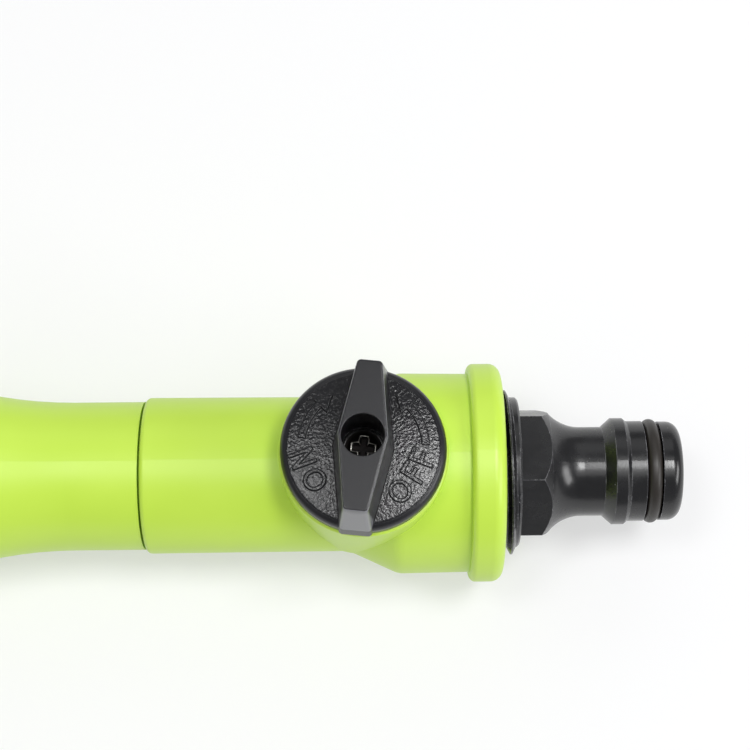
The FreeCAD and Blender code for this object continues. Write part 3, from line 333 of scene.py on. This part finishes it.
# floor and light
studio = {"floorColour": "#f0f0f0", "floorSeen": "#efeff0", "floorSizeM": 6.0,
          "floorLift": 0.44, "liftFromM": 0.3, "liftFullM": 0.9,  # the backdrop whitens with distance
          "skyStrength": 0.335, "skyColour": "#f7f8fb"}
bpy.ops.mesh.primitive_plane_add(size=studio["floorSizeM"], location=(0, 0, cadLow.z))
floor = bpy.context.object
floor.name = "studioFloor"
paper, tree = newMaterial("matPaperBackdrop")
ray = addNode(tree, "ShaderNodeLightPath")
seen = addNode(tree, "ShaderNodeMath", {"operation": "MAXIMUM"}, i0=ray.outputs["Is Camera Ray"],
               i1=ray.outputs["Is Glossy Ray"]).outputs[0]
matt = addNode(tree, "ShaderNodeBsdfDiffuse", Color=linearColour(studio["floorColour"]))
pale = addNode(tree, "ShaderNodeBsdfDiffuse", Color=linearColour(studio["floorSeen"]))
glow = addNode(tree, "ShaderNodeEmission", Strength=1.0)
place = addNode(tree, "ShaderNodeTexCoord").outputs["Object"]
away = addNode(tree, "ShaderNodeVectorMath", {"operation": "LENGTH"}, i0=place).outputs["Value"]
lift = addNode(tree, "ShaderNodeMapRange", Value=away, From_Min=studio["liftFromM"],
               From_Max=studio["liftFullM"], To_Min=studio["floorLift"], To_Max=1.0).outputs[0]
bright = addNode(tree, "ShaderNodeMixShader", Fac=lift, i1=pale.outputs[0], i2=glow.outputs[0])
paperMix = addNode(tree, "ShaderNodeMixShader", Fac=seen, i1=matt.outputs[0], i2=bright.outputs[0])
addNode(tree, "ShaderNodeOutputMaterial", Surface=paperMix.outputs[0])
floor.data.materials.append(paper)

sky = bpy.data.worlds.new("studioSky")
bpy.context.scene.world = sky
sky.use_nodes = True
tree = sky.node_tree
tree.nodes.clear()
ray = addNode(tree, "ShaderNodeLightPath")
soft = addNode(tree, "ShaderNodeBackground", Color=linearColour(studio["skyColour"]),
               Strength=studio["skyStrength"])
white = addNode(tree, "ShaderNodeBackground", Color=[1, 1, 1, 1], Strength=1.0)
mixed = addNode(tree, "ShaderNodeMixShader", Fac=ray.outputs["Is Camera Ray"], i1=soft.outputs[0],
                i2=white.outputs[0])
addNode(tree, "ShaderNodeOutputWorld", Surface=mixed.outputs[0])

lamps = {
    # place, aim, width, height (metres), radiance
    "softboxAbove": ((0.1, -0.17, 0.95), (0.12, -0.02, 0), 1.3, 0.34, 1.1),
    "softboxLeft": ((knobAxis.x - 0.28, 0.05, 0.95), tuple(knobAxis), 0.2, 0.2, 11.5),
    "softboxRight": ((knobAxis.x + 0.3, 0.05, 0.92), tuple(knobAxis), 0.24, 0.22, 21.5),
    "softboxBack": ((0.1, 1.0, 0.8), (0.1, 0, 0), 1.3, 0.7, 0.5),
    "softboxSide": ((1.1, -0.26, 0.62), (0.15, 0, 0), 0.7, 0.32, 6.5),
}
for name, (place, aim, width, height, radiance) in lamps.items():
    data = bpy.data.lights.new(name, "AREA")
    data.shape = "RECTANGLE"
    data.size, data.size_y = width, height
    data.energy = radiance * math.pi * width * height
    lamp = bpy.data.objects.new(name, data)
    bpy.context.scene.collection.objects.link(lamp)
    lamp.location = place
    lamp.rotation_euler = (Vector(aim) - Vector(place)).to_track_quat("-Z", "Y").to_euler()
print("studio lit with", len(lamps), "softboxes")

# camera
lens = {"fromKnobMm": (1.436, -56.89, 283.97), "tilt": 14.47, "yaw": -0.37, "roll": -0.204,  # degrees
        "focalMm": 86.07, "sensorMm": 36.0, "clipM": (0.01, 20)}
tilt, yaw, roll = (math.radians(lens[k]) for k in ("tilt", "yaw", "roll"))
camera = bpy.data.objects.new("camera", bpy.data.cameras.new("camera"))
bpy.context.scene.collection.objects.link(camera)
camera.data.lens = lens["focalMm"]
camera.data.sensor_width = lens["sensorMm"]
camera.data.clip_start, camera.data.clip_end = lens["clipM"]
turned = Matrix.Rotation(yaw, 4, "Z") @ Matrix.Rotation(tilt, 4, "X") @ Matrix.Rotation(roll, 4, "Z")
camera.matrix_world = Matrix.Translation(knobAxis + Vector(lens["fromKnobMm"]) / 1000) @ turned
bpy.context.scene.camera = camera
bpy.context.scene.view_settings.view_transform = "Standard"
print("camera placed")

print("scene ready")
